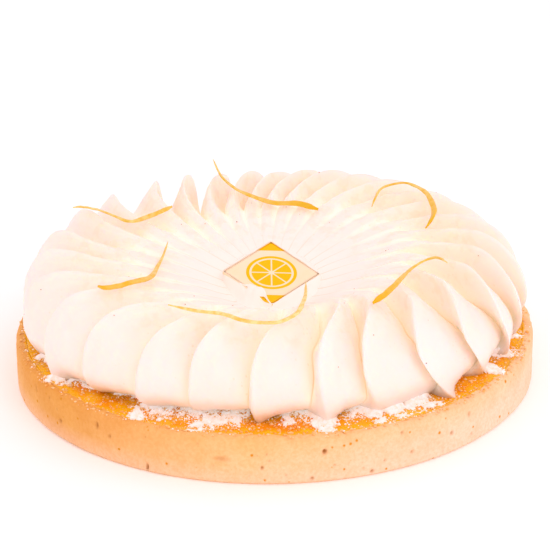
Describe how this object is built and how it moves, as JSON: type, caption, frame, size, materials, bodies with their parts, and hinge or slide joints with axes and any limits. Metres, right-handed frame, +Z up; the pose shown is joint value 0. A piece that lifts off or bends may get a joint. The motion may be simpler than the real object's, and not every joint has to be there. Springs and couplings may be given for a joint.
{
  "type": "lemon meringue pie",
  "caption": "Round lemon tart in a straight-sided sweet pastry shell, topped with a pinwheel of piped meringue petals, a small square white chocolate plaque and candied lemon zest strands.",
  "frame": {"origin": "middle of the pastry shell's underside, on the surface the pie stands on", "axes": "+Z up, -Y towards the front, +X to the right seen from the front"},
  "size_m": [0.22, 0.22, 0.0643],
  "materials": {
    "pastry": "matt, sandy, pale golden baked sweet pastry",
    "curd": "glossy set lemon curd, deep golden orange at the rim",
    "meringue": "satin, warm white, lightly scorched along the ridges",
    "chocolate": "satin white chocolate with printed fields of golden yellow",
    "zest": "moist candied lemon peel, translucent golden yellow"
  },
  "bodies": {
    "root": {"crust": "pastry", "lemon_curd": "curd", "meringue_petal_01": "meringue", "meringue_petal_02": "meringue", "meringue_petal_03": "meringue", "meringue_petal_04": "meringue", "meringue_petal_05": "meringue", "meringue_petal_06": "meringue", "meringue_petal_07": "meringue", "meringue_petal_08": "meringue", "meringue_petal_09": "meringue", "meringue_petal_10": "meringue", "meringue_petal_11": "meringue", "meringue_petal_12": "meringue", "meringue_petal_13": "meringue", "meringue_petal_14": "meringue", "meringue_petal_15": "meringue", "meringue_petal_16": "meringue", "meringue_petal_17": "meringue", "meringue_petal_18": "meringue", "meringue_petal_19": "meringue", "meringue_petal_20": "meringue", "meringue_petal_21": "meringue", "meringue_petal_22": "meringue", "meringue_petal_23": "meringue", "meringue_petal_24": "meringue", "meringue_petal_25": "meringue", "meringue_petal_26": "meringue", "meringue_petal_27": "meringue", "meringue_petal_28": "meringue", "meringue_petal_29": "meringue", "meringue_centre": "meringue", "plaque": "chocolate", "zest_strand_01": "zest", "zest_strand_02": "zest", "zest_strand_03": "zest", "zest_strand_04": "zest", "zest_strand_05": "zest", "zest_strand_06": "zest"}
  },
  "joints": []
}
